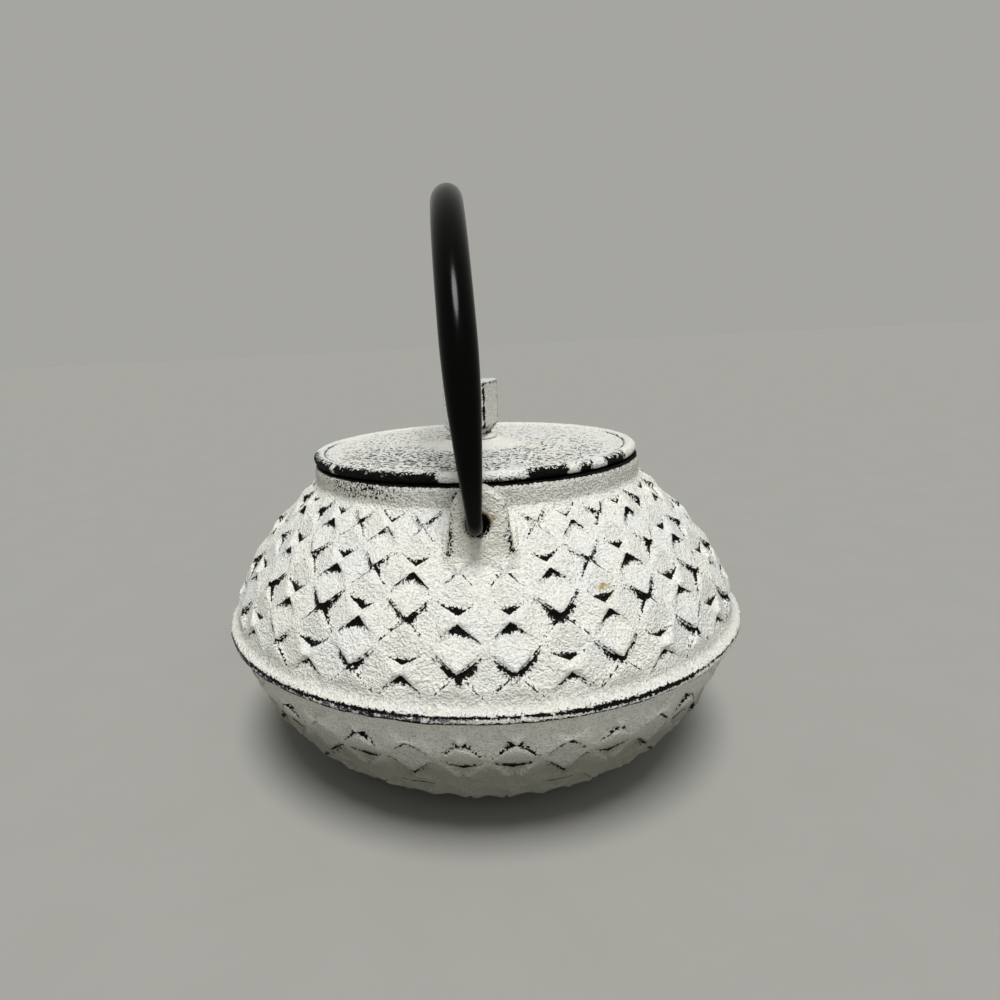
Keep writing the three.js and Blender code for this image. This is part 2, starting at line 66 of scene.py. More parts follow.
# Pot profile in mm, as in the CAD part: the belly, the shoulder up to the collar, the bowl down
# to the foot, and the folded-diamond relief on both
BELLY = (77.6, 47)
SHOULDER_PULL = (78.3, 64.4)
COLLAR = (50.2, 88.3)
COLLAR_TOP = 94.5
BOWL_PULL = (71, 12)
FOOT = (39, 2.6)
RIB_RADIUS = 80
RELIEF_COLUMNS = 36
RELIEF_ROWS = 4
RELIEF_FROM = 3.3
BOWL_PLAIN_BAND = 11
WALL = 3.6
RECESS_RADIUS = 46.8

# The spout's centre line as [reach, height] in mm, its section, and where the iron shows at its mouth
SPOUT_ROOT = (60, 58)
SPOUT_ELBOW = (85, 63)
SPOUT_TIP = (98, 95.7)
SPOUT_ROOT_RADIUS = 15
SPOUT_TIP_RADIUS = 8.2
SPOUT_WALL = 2.8
SPOUT_MOUTH_FROM = (84, 84)
SPOUT_BARE_HEIGHT = 87

# Ears and bail in mm
PIVOT_HEIGHT = 87
EAR_INNER_FACE = 55.1
EAR_OUTER_FACE = 60.6
EAR_HALF_FOOT = 8.7
EAR_HALF_TOP = 6.7
EAR_FOOT_HEIGHT = 75
EAR_SHOULDER_HEIGHT = 92.1
EAR_HOLE_X = -0.55
EAR_HOLE_RADIUS = 2.9
BAIL_RADIUS = 4.5
BAIL_TIP_RADIUS = 1.9
BAIL_HEIGHT = 169
BAIL_HALF_SPAN = 65.4
BAIL_BEND = 3.6
BAIL_PIN = 7.1
BAIL_TAPER = 43
BAIL_LEAN = 2.95
BAIL_X = -1.2
BAIL_SHRINK = 0.995

# Lid and knob in mm, and how far the knob's foot is drawn down onto the lid
LID_X = -0.5
LID_RADIUS = 49.9
LID_SEAT = 94.8
LID_RIM_WIDTH = 3.5
KNOB_TURN = -20
KNOB_HALF_WIDTH = 6.7
KNOB_FOOT = 99.7
KNOB_WAIST = 101.2
KNOB_CUBE_FOOT = 103
KNOB_TOP = 117.3
KNOB_SINK = 0.27

# Infuser in mm
INFUSER_RADIUS = 39.5
INFUSER_WALL_LOW = 44.7
INFUSER_WALL_HIGH = 89.8
INFUSER_BASE_LOW = 43.7
INFUSER_MESH_THICKNESS = 0.7
INFUSER_RIM = ((39.8, 81.8), (40.6, 81.8), (40.6, 89.8), (46.3, 89.8), (46.3, 90.6), (39.8, 90.6))
INFUSER_CUP = ((30, 42.6), (40.6, 42.6), (40.6, 48.6), (39.8, 48.6), (39.8, 43.4), (30, 43.4))
WIRE_PITCH = 1.6
WIRE_THICKNESS = 0.34
PRESSED_BEND = 0.25

# Meshes: voxel sizes in mm, the share of faces kept in the pot's cavity, and steps round
POT_VOXEL = 0.7
LID_VOXEL = 0.5
KNOB_VOXEL = 0.3
CAVITY_SHARE = 0.62
BAIL_SIDES = 40
PRESSED_STEPS = 144

# Colours, linear
FILL = (1, 0.99, 0.97, 1)
BACKDROP = (0.382, 0.378, 0.350, 1)
FLOOR = (0.325, 0.322, 0.298, 1)
FLOOR_PALE = (0.333, 0.330, 0.306, 1)
PAINT = (0.855, 0.845, 0.775, 1)
PAINT_COOL = (0.83, 0.835, 0.80, 1)
PAINT_WARM = (0.86, 0.835, 0.73, 1)
# Worn, dusty paint, and also the painted shade under the knob's bevel
PAINT_WORN_AND_SHADE = (0.45, 0.435, 0.385, 1)
# Thin paint in specks, and also the painted shade low on the bowl
PAINT_THIN_AND_SHADE = (0.255, 0.25, 0.205, 1)
# Painted shade on the collar
PAINT_SHADED = (0.36, 0.35, 0.30, 1)
PIT = (0.02, 0.019, 0.018, 1)
IRON = (0.004, 0.0038, 0.0035, 1)
IRON_DUSTY = (0.017, 0.016, 0.015, 1)
RUST = (0.42, 0.30, 0.11, 1)
SMEAR = (0.17, 0.165, 0.20, 1)
SMEAR_DARK = (0.015, 0.015, 0.018, 1)
LACQUER = (0.0003, 0.0003, 0.0003, 1)
LACQUER_DUSTY = (0.0012, 0.0012, 0.0012, 1)
LACQUER_WORN = (0.003, 0.003, 0.003, 1)
STEEL = (0.64, 0.64, 0.64, 1)
STEEL_DULL = (0.52, 0.52, 0.53, 1)
STEEL_STREAK = (0.40, 0.40, 0.41, 1)


# Camera, light and floor

def make_camera():
    data = bpy.data.cameras.new("camera")
    data.sensor_width = SENSOR_WIDTH
    data.lens = SENSOR_WIDTH * FOCAL_PIXELS / IMAGE_SIZE
    data.shift_x = AXIS_LEFT_PIXELS / IMAGE_SIZE
    data.clip_start = 0.01
    data.clip_end = 20
    camera = bpy.data.objects.new("camera", data)
    bpy.context.scene.collection.objects.link(camera)
    yaw, pitch, roll = (math.radians(a) for a in (CAMERA_YAW, CAMERA_PITCH, CAMERA_ROLL))
    level_forward = Vector((math.sin(yaw), math.cos(yaw), 0))
    forward = level_forward * math.cos(pitch) - Vector((0, 0, math.sin(pitch)))
    level = Vector((math.cos(yaw), -math.sin(yaw), 0))
    upright = level.cross(forward)
    right = math.cos(roll) * level + math.sin(roll) * upright
    up = -math.sin(roll) * level + math.cos(roll) * upright
    axes = Matrix((right, up, -forward)).transposed().to_4x4()
    place = Matrix.Translation((0, -CAMERA_DISTANCE, CAMERA_HEIGHT)) @ axes
    camera.matrix_world = Matrix.Rotation(math.radians(CAMERA_AZIMUTH), 4, "Z") @ place
    bpy.context.scene.camera = camera


def make_far_softbox(name, elevation, azimuth, width, strength, mirrored=True):
    """A soft light from far off, in degrees: up from the table, round from -Y towards +X, across"""
    data = bpy.data.lights.new(name, "SUN")
    data.angle = math.radians(width)
    data.energy = strength
    light = bpy.data.objects.new(name, data)
    light.visible_glossy = mirrored
    up, turn = math.radians(elevation), math.radians(azimuth)
    towards = Vector((math.sin(turn) * math.cos(up), -math.cos(turn) * math.cos(up), math.sin(up)))
    light.rotation_euler = towards.to_track_quat("Z", "Y").to_euler()
    bpy.context.scene.collection.objects.link(light)


def make_world():
    """An even fill, and a backdrop that only the camera, mirrors and glass see"""
    world = bpy.data.worlds.new("studio")
    bpy.context.scene.world = world
    world.use_nodes = True
    tree = world.node_tree
    fill = tree.nodes["Background"]
    fill.inputs["Color"].default_value = FILL
    fill.inputs["Strength"].default_value = FILL_STRENGTH
    backdrop = tree.nodes.new("ShaderNodeBackground")
    backdrop.inputs["Color"].default_value = BACKDROP
    seen = tree.nodes.new("ShaderNodeLightPath")
    direct = tree.nodes.new("ShaderNodeMath")
    direct.operation = "MAXIMUM"
    tree.links.new(seen.outputs["Is Camera Ray"], direct.inputs[0])
    tree.links.new(seen.outputs["Is Glossy Ray"], direct.inputs[1])
    shown = tree.nodes.new("ShaderNodeMath")
    shown.operation = "MAXIMUM"
    tree.links.new(direct.outputs["Value"], shown.inputs[0])
    tree.links.new(seen.outputs["Is Transmission Ray"], shown.inputs[1])
    mix = tree.nodes.new("ShaderNodeMixShader")
    tree.links.new(shown.outputs["Value"], mix.inputs["Fac"])
    tree.links.new(fill.outputs["Background"], mix.inputs[1])
    tree.links.new(backdrop.outputs["Background"], mix.inputs[2])
    tree.links.new(mix.outputs["Shader"], tree.nodes["World Output"].inputs["Surface"])


# Finishes: each is a node tree over object coordinates

class Value:
    """A number that a finish's nodes work out at each point of a surface"""

    def __init__(self, finish, socket):
        self.finish = finish
        self.socket = socket

    def __add__(self, other):
        return self.finish.math("ADD", self, other)

    def __sub__(self, other):
        return self.finish.math("SUBTRACT", self, other)

    def __mul__(self, other):
        return self.finish.math("MULTIPLY", self, other)

    def __abs__(self):
        return self.finish.math("ABSOLUTE", self)

    def round(self):
        return self.finish.math("ROUND", self)

    def sign(self):
        return self.finish.math("SIGN", self)

    def at_least(self, other):
        return self.finish.math("MAXIMUM", self, other)

    def at_most(self, other):
        return self.finish.math("MINIMUM", self, other)


class Finish:
    """One material, with short calls for the nodes that the finishes share"""

    def __init__(self, name):
        self.material = bpy.data.materials.new(name)
        self.material.use_nodes = True
        self.tree = self.material.node_tree
        self.surface = self.tree.nodes["Principled BSDF"]
        self.place = self.add("ShaderNodeTexCoord").outputs["Object"]

    def feed(self, socket, value):
        if isinstance(value, Value):
            value = value.socket
        if isinstance(value, bpy.types.NodeSocket):
            self.tree.links.new(value, socket)
        else:
            socket.default_value = value

    def add(self, kind, inputs=None, **settings):
        node = self.tree.nodes.new(kind)
        for key, value in settings.items():
            setattr(node, key, value)
        for key, value in (inputs or {}).items():
            self.feed(node.inputs[key], value)
        return node

    def coordinates(self):
        """The point's x, y and z in mm"""
        parts = self.add("ShaderNodeSeparateXYZ", {"Vector": self.place}).outputs
        return [Value(self, part) * (1 / MM) for part in parts]

    def vector(self, *parts):
        return self.add("ShaderNodeCombineXYZ", dict(zip("XYZ", parts))).outputs["Vector"]

    def noise(self, size_mm, detail=3.0, roughness=0.5, place=None, distortion=0.0):
        inputs = {"Vector": place or self.place, "Scale": 1 / (size_mm * MM)}
        inputs.update({"Detail": detail, "Roughness": roughness, "Distortion": distortion})
        return Value(self, self.add("ShaderNodeTexNoise", inputs).outputs["Fac"])

    def chance(self, vector):
        """Three numbers from 0 to 1 that depend on nothing but the vector"""
        colour = self.add("ShaderNodeTexWhiteNoise", {"Vector": vector}).outputs["Color"]
        parts = self.add("ShaderNodeSeparateColor", {"Color": colour}).outputs
        return [Value(self, part) for part in parts]

    def stretched(self, scale):
        return self.add("ShaderNodeMapping", {"Vector": self.place, "Scale": scale}).outputs["Vector"]

    def attribute(self, name):
        return Value(self, self.add("ShaderNodeAttribute", attribute_name=name).outputs["Fac"])

    def math(self, operation, *values):
        node = self.add("ShaderNodeMath", operation=operation)
        for socket, value in zip(node.inputs, values):
            self.feed(socket, value)
        return Value(self, node.outputs["Value"])

    def step(self, value, low, high, to_low=0.0, to_high=1.0):
        inputs = {"Value": value, "From Min": low, "From Max": high, "To Min": to_low, "To Max": to_high}
        node = self.add("ShaderNodeMapRange", inputs, interpolation_type="SMOOTHSTEP")
        return Value(self, node.outputs["Result"])

    def mix(self, share, first, second):
        node = self.add("ShaderNodeMix", data_type="RGBA")
        self.feed(node.inputs[0], share)
        self.feed(node.inputs[6], first)
        self.feed(node.inputs[7], second)
        return node.outputs[2]

    def bump(self, height, distance_mm, strength=1.0, normal=None):
        inputs = {"Height": height, "Distance": distance_mm * MM, "Strength": strength}
        if normal is not None:
            inputs["Normal"] = normal
        return self.add("ShaderNodeBump", inputs).outputs["Normal"]

    def set(self, **sockets):
        for name, value in sockets.items():
            self.feed(self.surface.inputs[name.replace("_", " ")], value)
        return self.material


def worn_relief(finish):
    """How far inside a bare patch of the relief a point lies, in mm, and below 0 outside them.

    The relief's edges meet at knots, one for each column and row. Where an upright diamond stands
    high, its lower tip has a bare line round it. Where the diamonds on both sides stand high, the
    low corners above and below the knot are bare. Chance varies both from knot to knot."""
    x, y, _ = finish.coordinates()
    turns = finish.math("ARCTAN2", x, y * -1.0) * (RELIEF_COLUMNS / (2 * math.pi))
    column = turns - 0.5
    aside = column - column.round()
    row = finish.attribute("row")
    knot_row = row.round().at_least(0.0).at_most(RELIEF_ROWS - 1.0)
    upper = finish.attribute("upper")
    climb = (row - knot_row) * upper
    from_front = finish.math("FLOOR", abs(turns))
    sideways = finish.math("MODULO", from_front + knot_row, 2.0)
    upright = sideways * -1.0 + 1.0
    below = finish.math("LESS_THAN", climb, 0.0)

    knot = finish.vector(column.round(), knot_row, upper)
    arm = finish.vector(column.round() + aside.sign() * 0.25, knot_row + climb.sign() * 0.25, upper)
    knot_chance = finish.chance(knot)
    arm_chance = finish.chance(arm)
    patchy = finish.step(finish.noise(24, 1), 0.35, 0.6, 0.65, 1.0)
    strength = patchy * (arm_chance[1] * 0.35 + 0.65) * (upper * 0.1 + 0.9)
    bowl = upper * -0.5 + 0.5
    first_row = finish.math("LESS_THAN", knot_row, 0.5)
    high_row = finish.math("GREATER_THAN", knot_row, 1.5)
    top_row = finish.math("GREATER_THAN", knot_row, 2.5)
    from_ear = abs(turns) * -1.0 + RELIEF_COLUMNS / 2
    from_ear = from_ear.at_most(abs(turns))
    strength = strength * (top_row * finish.step(from_ear, 4.2, 2.2, 0.0, 0.75) * -1.0 + 1.0)
    strength = strength * (high_row * -0.22 + 1.0)
    climb = climb - (knot_row.at_most(2.0) * 0.03)

    far = abs(aside) + abs(climb)
    reach = (arm_chance[0] * 0.32 + 0.44) * (upright * (high_row * -1.0 + 1.0) * 0.22 + 1.0)
    left = (far * finish.math("DIVIDE", -1.0, reach) + 1.0).at_least(0.0)

    # Both kinds of mark are stripes beside the edges, which narrow along them to the marks' reach
    def stripe(low, width):
        return (width - low).at_most(low * 5.0 + 0.02)

    bridge = (first_row * 0.07 + 0.13) * (below * -1.0 + 1.0) + below * (first_row * 0.03 + 0.035)
    bridge = (bridge + knot_chance[0] * 0.03) * (far * -1.6 + 1.0).at_least(0.0)
    corner = (below * (first_row * -0.3 - 0.15) + 0.85) * strength * left * (left * 0.65 + 0.35)
    beside = stripe(abs(climb) - abs(aside) - bridge, corner)
    beside = beside - bowl * abs(below - first_row) * 2.0

    rounded = finish.math("SQRT", aside * aside + 0.016) - 0.085
    band = (knot_chance[1] * 0.09 + 0.15) * strength * left * (left * -1.0 + 2.0)
    under_tip = stripe(rounded - climb, band * (high_row * -0.35 + 1.0)) - bowl * first_row * 2.0
    under_tip = under_tip.at_most(climb + 0.15)
    crossed = (knot_chance[2] * -0.6 + 1.0) * (first_row * (bowl - 1.0) + 1.0)
    crossing = stripe(abs(aside) - abs(climb), crossed * 0.4 * strength * left * left)
    crossing = crossing - bowl * abs(below - first_row) * 2.0
    upright_line = under_tip.at_least(crossing)

    line = beside * sideways + upright_line * upright
    under_ear = finish.math("LESS_THAN", from_ear, 1.0) * high_row
    line = line - under_ear * (below * -1.0 + 1.0) * 2.0
    line = line.at_most((reach - far) * 0.6)
    return line * 12.0 + (finish.attribute("relief") - 1.0) * 10.0


def round_the_pot(finish):
    """Degrees round from the front ear towards +X, the distance from the axis and the height, in mm"""
    x, y, z = finish.coordinates()
    radius = finish.math("SQRT", x * x + y * y)
    return finish.math("ARCTAN2", x, y * -1.0) * (180 / math.pi), radius, z


def between(finish, value, low, high, soft):
    """1 where the value lies between two limits, and 0 past soft edges"""
    return finish.step(value, low - soft, low + soft) * finish.step(value, high + soft, high - soft)


def worn_rib(finish):
    """How far inside a bare patch of the rib's outer face a point lies, in mm, and below 0 outside
    them: a line under its upper edge and one at its lower edge, over some degrees round the pot"""
    angle, radius, z = round_the_pot(finish)
    height = z - BELLY[1]
    sweep = finish.noise(17, 2)
    right = between(finish, angle, 13, 39, 4)
    left = between(finish, angle, -95, -14, 4)
    hidden = finish.step(abs(angle), 85, 100) * finish.step(sweep, 0.45, 0.6)
    wide = right.at_least(left * finish.step(sweep, 0.35, 0.62, 0.2, 0.62)).at_least(hidden * 0.8)
    upper_line = wide * 0.38 + 0.24 - abs(height - 0.66 + wide * 0.3)
    front = between(finish, angle, -20, 12, 3)
    lower_line = (finish.step(sweep, 0.56, 0.46, 0.0, 0.28)).at_least(front * 0.3) - abs(height + 1.1)
    return (upper_line.at_least(lower_line) * 2.6).at_most((radius - (RIB_RADIUS - 1.5)) * 4.0)


def worn_lip(finish):
    """The same for the top of the collar, under the lid's rim"""
    _, radius, z = round_the_pot(finish)
    lip = ((z - (COLLAR_TOP - 0.55)) * 6.0).at_most(3.0)
    return lip.at_most((radius * -1.0 + (COLLAR[0] + 1.6)) * 6.0)


def worn_ear(finish):
    """The same for the ears: along the upright edges of their outer faces and in the bail's holes"""
    x, y, z = finish.coordinates()
    along = abs(y)
    narrowing = (EAR_HALF_FOOT - EAR_HALF_TOP) / (EAR_SHOULDER_HEIGHT - EAR_FOOT_HEIGHT)
    from_edge = (z - EAR_FOOT_HEIGHT) * -narrowing + EAR_HALF_FOOT - abs(x)
    wander = (finish.noise(1.3, 2, 0.6) - 0.5) * 3.0
    lower_down = finish.step(z, 90, 83, -0.3, 0.5)
    edge = lower_down - abs(from_edge - 0.45 + wander)
    edge = edge.at_most(along - (EAR_OUTER_FACE - 1.5)).at_most((z - 79.8) * 1.5)
    aside = x - EAR_HOLE_X
    above = z - PIVOT_HEIGHT
    from_hole = finish.math("SQRT", aside * aside + above * above)
    hole = from_hole * -2.0 + 2 * (EAR_HOLE_RADIUS + 0.15)
    plate = (along - (EAR_INNER_FACE - 0.4)).at_most(along * -1.0 + (EAR_OUTER_FACE + 0.8))
    return edge.at_least(hole).at_most(plate * 3.0)


def pocket_bare_and_shade(finish):
    """The same for the body behind the ears' holes, where the black is partly bare iron and partly
    painted shadow from the ears
    """
    x, y, z = finish.coordinates()
    along = abs(y)
    behind = (abs(x - EAR_HOLE_X) * -1.0 + 5.5).at_most(abs(z - PIVOT_HEIGHT) * -1.0 + 5.5)
    behind = behind.at_most((along - (COLLAR[0] - 1.5)) * 2.0)
    return behind.at_most((along * -1.0 + (EAR_INNER_FACE + 0.3)) * 2.0)


def worn_ring(finish):
    """The same for the seam between the lid's plate and its rim, at the lid's two sides"""
    x, y, _ = finish.coordinates()
    aside = x - LID_X
    radius = finish.math("SQRT", aside * aside + y * y)
    angle = finish.math("ARCTAN2", abs(aside), y * -1.0) * (180 / math.pi)
    seam = (abs(radius - (LID_RADIUS - LID_RIM_WIDTH)) * -1.0 + 0.17) * 4.0
    return seam.at_most(between(finish, angle, 48, 108, 10) * 3.0 - 2.0)


def chalk_paint():
    """Chalky off-white paint over black iron, with painted shade low on the bowl, on the collar and
    under the knob. Mesh attributes say where the iron shows.
    """
    finish = Finish("chalk_paint")
    angle, radius, z = round_the_pot(finish)
    coarse = finish.noise(1.3, 3, 0.6)
    fine = finish.noise(0.55, 2, 0.6)
    speck = finish.noise(0.65, 2, 0.6)
    ear = finish.attribute("ear")
    lid = finish.attribute("lid")
    pot = finish.attribute("pot")
    ragged = (coarse - 0.5) * 4.4 + (fine - 0.5) * 4.0
    on_pot = worn_rib(finish).at_least(worn_lip(finish)).at_least(pocket_bare_and_shade(finish))
    bare = finish.attribute("bare").at_least(worn_relief(finish))
    for patch, where in ((worn_ear(finish), ear), (on_pot, pot), (worn_ring(finish), lid)):
        bare = bare.at_least(patch + (where - 1.0) * 10.0)
    iron = finish.step(bare + ragged, -0.07, 0.07)
    specks = finish.step(bare, -2.2, -1.6) * finish.step(speck + bare * 0.055, 0.565, 0.60)
    inside = finish.attribute("inside")
    collar = pot * finish.step(z, COLLAR[1] - 0.1, COLLAR[1] + 1.3)
    collar = collar * finish.step(radius, COLLAR[0] + 3.3, COLLAR[0] + 1.3)
    dotted = collar * between(finish, angle, -55, -27, 7)
    dotted = dotted * finish.step(z, COLLAR[1] + 0.7, COLLAR[1] + 3.7)
    dots = finish.step(dotted, 0.0, 0.2) * finish.step(speck + dotted * 0.09, 0.60, 0.63)
    black = iron.at_least(specks).at_least(dots).at_least(inside)

    drift = finish.noise(14, 2, 0.5)
    grain = finish.noise(0.6, 2, 0.6)
    paint = finish.mix(finish.step(drift, 0.35, 0.65), PAINT, PAINT_COOL)
    paint = finish.mix(finish.step(bare + (coarse - 0.5) * 4.0, -1.0, 0.2, 0.0, 0.2), paint, PAINT_WORN_AND_SHADE)
    paint = finish.mix(finish.step(grain, 0.52, 0.34, 0.0, 0.5) * (lid * -0.7 + 1.0), paint, PAINT_WORN_AND_SHADE)
    paint = finish.mix(finish.step(speck, 0.64, 0.70, 0.0, 0.4) * (lid * -1.0 + 1.0), paint, PAINT_THIN_AND_SHADE)
    paint = finish.mix(ear * 0.6, paint, PAINT_WARM)
    paint = finish.mix(ear * finish.step(coarse, 0.50, 0.36, 0.0, 0.22), paint, PAINT_WORN_AND_SHADE)
    # Painted shade: darker towards the foot of the bowl, which faces down, away from the light
    paint = finish.mix(pot * finish.step(z, 40, 26, 0.0, 0.9), paint, PAINT_THIN_AND_SHADE)
    # Grey on the collar under the lid's rim: partly thin grainy paint, partly painted shade
    paint = finish.mix(collar * finish.step(grain, 0.60, 0.38, 0.24, 0.66), paint, PAINT_SHADED)
    above_rib = between(finish, z, BELLY[1] + 1.6, BELLY[1] + 5.5, 0.8)
    paint = finish.mix(pot * above_rib * finish.step(coarse, 0.62, 0.4, 0.12, 0.5), paint, PAINT_WORN_AND_SHADE)
    # Painted shade on the knob's bevelled underside, which faces down
    knob_underside_shade = finish.attribute("knob") * between(finish, z, KNOB_WAIST, KNOB_CUBE_FOOT - 0.3, 0.25)
    paint = finish.mix(knob_underside_shade * 0.75, paint, PAINT_WORN_AND_SHADE)
    rib_face = pot * finish.step(radius, RIB_RADIUS - 1.0, RIB_RADIUS - 0.5)
    rib_face = rib_face * between(finish, z, BELLY[1] - 1.5, BELLY[1] + 0.9, 0.15)
    smeared = between(finish, angle, -100, -4, 5).at_least(finish.step(abs(angle), 60, 90))
    smear = rib_face * smeared * finish.step(finish.noise(1.7, 3, 0.7), 0.42, 0.50)
    smear_tone = finish.mix(finish.step(finish.noise(1.1, 3, 0.7), 0.40, 0.60), SMEAR_DARK, SMEAR)
    paint = finish.mix(smear, paint, smear_tone)
    rust = finish.attribute("rust") * finish.step(finish.noise(1.6, 3), 0.35, 0.6)
    paint = finish.mix(rust, paint, RUST)
    pitted = finish.attribute("pits")
    worms = finish.noise(0.95, 1, distortion=0.8) + (pitted - 1.0) * 0.12
    pits = finish.step(pitted, 0.0, 0.1) * finish.step(worms, 0.535, 0.56)
    paint = finish.mix(pits * finish.step(pitted, 0.1, 0.7, 0.6, 1.0), paint, PIT)
    metal = finish.mix(finish.step(fine, 0.5, 0.85), IRON, IRON_DUSTY)
    colour = finish.mix(black, paint, metal)

    layer = finish.bump(black.at_least(pits) * -1.0 + 1.0, 0.16, 0.8)
    relief = (grain + coarse * 0.9 + fine * 0.3) * (ear * 0.3 + 1.0)
    rough = finish.bump(relief, 0.85, 1.0, layer)
    roughness = finish.step(black, 0, 1, 0.88, 0.6)
    return finish.set(Base_Color=colour, Roughness=roughness, Normal=rough, Specular_IOR_Level=0.06)


def lacquer():
    """Satin black lacquer, thinner and duller over the bail's hooks"""
    finish = Finish("bail_lacquer")
    dust = finish.noise(0.9, 4, 0.7)
    scuff = finish.noise(1.0, 3, 0.6, finish.stretched((1, 0.12, 0.12)))
    worn = finish.attribute("worn")
    colour = finish.mix(finish.step(dust, 0.62, 0.8, 0.0, 0.5), LACQUER, LACQUER_DUSTY)
    colour = finish.mix(worn, colour, LACQUER_WORN)
    roughness = finish.step(scuff, 0.3, 0.75, 0.15, 0.20) + worn * 0.08
    normal = finish.bump(dust, 0.012, 0.5)
    return finish.set(Base_Color=colour, Roughness=roughness, Normal=normal, Specular_IOR_Level=0.09)


def steel(name, scale, base_roughness):
    finish = Finish(name)
    streaks = finish.noise(0.5, 3, 0.6, finish.stretched(scale))
    blot = finish.noise(6, 2, 0.5)
    colour = finish.mix(finish.step(blot, 0.3, 0.7), STEEL_DULL, STEEL)
    colour = finish.mix(finish.step(streaks, 0.5, 0.8, 0.0, 0.5), colour, STEEL_STREAK)
    roughness = finish.step(streaks, 0.2, 0.8, base_roughness, base_roughness + 0.18)
    normal = finish.bump(streaks, 0.02, 0.4)
    return finish.set(Base_Color=colour, Roughness=roughness, Normal=normal, Metallic=1.0)


def floor_finish():
    finish = Finish("studio_floor")
    cloud = finish.noise(30, 3, 0.6)
    colour = finish.mix(finish.step(cloud, 0.3, 0.7), FLOOR, FLOOR_PALE)
    return finish.set(Base_Color=colour, Roughness=0.95, Specular_IOR_Level=0.1)


# Mesh tools

def noise3(points, size, seed):
    """Smooth value noise from -1 to 1 at points in mm, with features of the given size"""
    scaled = points / size + seed * 17.31
    cell = np.floor(scaled).astype(np.int64)
    part = scaled - cell
    part = part * part * (3 - 2 * part)
    total = np.zeros(len(points))
    for corner in range(8):
        offset = np.array([corner & 1, corner >> 1 & 1, corner >> 2 & 1])
        weight = np.prod(np.where(offset == 1, part, 1 - part), axis=1)
        spot = cell + offset
        key = (spot * (374761393, 668265263, 1442695041)).sum(axis=1) + seed * 1274126177
        key &= 0xFFFFFFFF
        key = ((key ^ key >> 13) * 1274126177) & 0xFFFFFFFF
        total += weight * (((key ^ key >> 16) & 0xFFFF) / 32767.5 - 1)
    return total


def smoothstep(value, low, high):
    share = np.clip((value - low) / (high - low), 0, 1)
    return share * share * (3 - 2 * share)


def read_points(mesh):
    flat = np.empty(len(mesh.vertices) * 3)
    mesh.vertices.foreach_get("co", flat)
    return flat.reshape(-1, 3) / MM


def write_points(mesh, points):
    mesh.vertices.foreach_set("co", (points * MM).ravel())
    mesh.update()


def read_normals(mesh):
    flat = np.empty(len(mesh.vertices) * 3)
    mesh.vertex_normals.foreach_get("vector", flat)
    return flat.reshape(-1, 3)


def edge_ends(mesh):
    flat = np.empty(len(mesh.edges) * 2, np.int64)
    mesh.edges.foreach_get("vertices", flat)
    return flat.reshape(-1, 2)


def relax(values, edges, rounds, share=0.5):
    """Moves each vertex's value towards the mean of its neighbours' values"""
    one, other = edges[:, 0], edges[:, 1]
    count = np.bincount(one, minlength=len(values)) + np.bincount(other, minlength=len(values))
    for _ in range(rounds):
        mean = np.empty_like(values)
        for axis in range(values.shape[1]):
            column = values[:, axis]
            mean[:, axis] = np.bincount(one, column[other], len(values))
            mean[:, axis] += np.bincount(other, column[one], len(values))
        values = values + share * (mean / count[:, None] - values)
    return values


def set_attribute(mesh, name, values):
    attribute = mesh.attributes.new(name, "FLOAT", "POINT")
    attribute.data.foreach_set("value", np.asarray(values, np.float32))


def add_object(name, mesh):
    piece = bpy.data.objects.new(name, mesh)
    bpy.context.scene.collection.objects.link(piece)
    return piece


def evenly_meshed(node, voxel_mm):
    """A closed mesh of even small faces over one CAD node"""
    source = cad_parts[node].data.copy()
    source.materials.clear()
    welder = bmesh.new()
    welder.from_mesh(source)
    bmesh.ops.remove_doubles(welder, verts=welder.verts, dist=0.002 * MM)
    welder.to_mesh(source)
    welder.free()
    carrier = add_object("carrier", source)
    remesh = carrier.modifiers.new("even", "REMESH")
    remesh.mode = "VOXEL"
    remesh.voxel_size = voxel_mm * MM
    view = bpy.context.evaluated_depsgraph_get()
    mesh = bpy.data.meshes.new_from_object(carrier.evaluated_get(view))
    bpy.data.objects.remove(carrier)
    bpy.data.meshes.remove(source)
    return mesh


def keep_in_box(points, node):
    low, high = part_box(node)
    return np.clip(points, np.array(low) / MM, np.array(high) / MM)


def grid_faces(rings, sides, first=0, closed=True):
    """Quads between rings of points, each ring closed, and the rings closed on each other if asked"""
    ring, side = np.meshgrid(np.arange(rings if closed else rings - 1), np.arange(sides), indexing="ij")
    after, beyond = (side + 1) % sides, (ring + 1) % rings
    quads = np.stack([ring * sides + side, ring * sides + after,
                      beyond * sides + after, beyond * sides + side], axis=-1)
    return quads.reshape(-1, 4) + first


def closed_mesh(name, points, faces, node):
    """A mesh of points in mm, kept in a CAD node's box, with its faces turned outward"""
    mesh = bpy.data.meshes.new(name)
    mesh.from_pydata(keep_in_box(points, node) * MM, [], faces)
    turner = bmesh.new()
    turner.from_mesh(mesh)
    bmesh.ops.recalc_face_normals(turner, faces=turner.faces)
    turner.to_mesh(mesh)
    turner.free()
    return mesh


def add_piece(name, mesh, node, body, material):
    """Adds a smooth piece in a CAD node's place, on that node's body"""
    mesh.polygons.foreach_set("use_smooth", np.ones(len(mesh.polygons), bool))
    mesh.materials.append(material)
    piece = add_object(name, mesh)
    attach(piece, body)
    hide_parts(node)


# Pot casting

def curve_samples(start, pull, end, count=400):
    share = np.linspace(0, 1, count)[:, None]
    start, pull, end = (np.array(p, float) for p in (start, pull, end))
    points = (1 - share) ** 2 * start + 2 * share * (1 - share) * pull + share ** 2 * end
    steps = np.linalg.norm(np.diff(points, axis=0), axis=1)
    return points, np.concatenate([[0], np.cumsum(steps)])


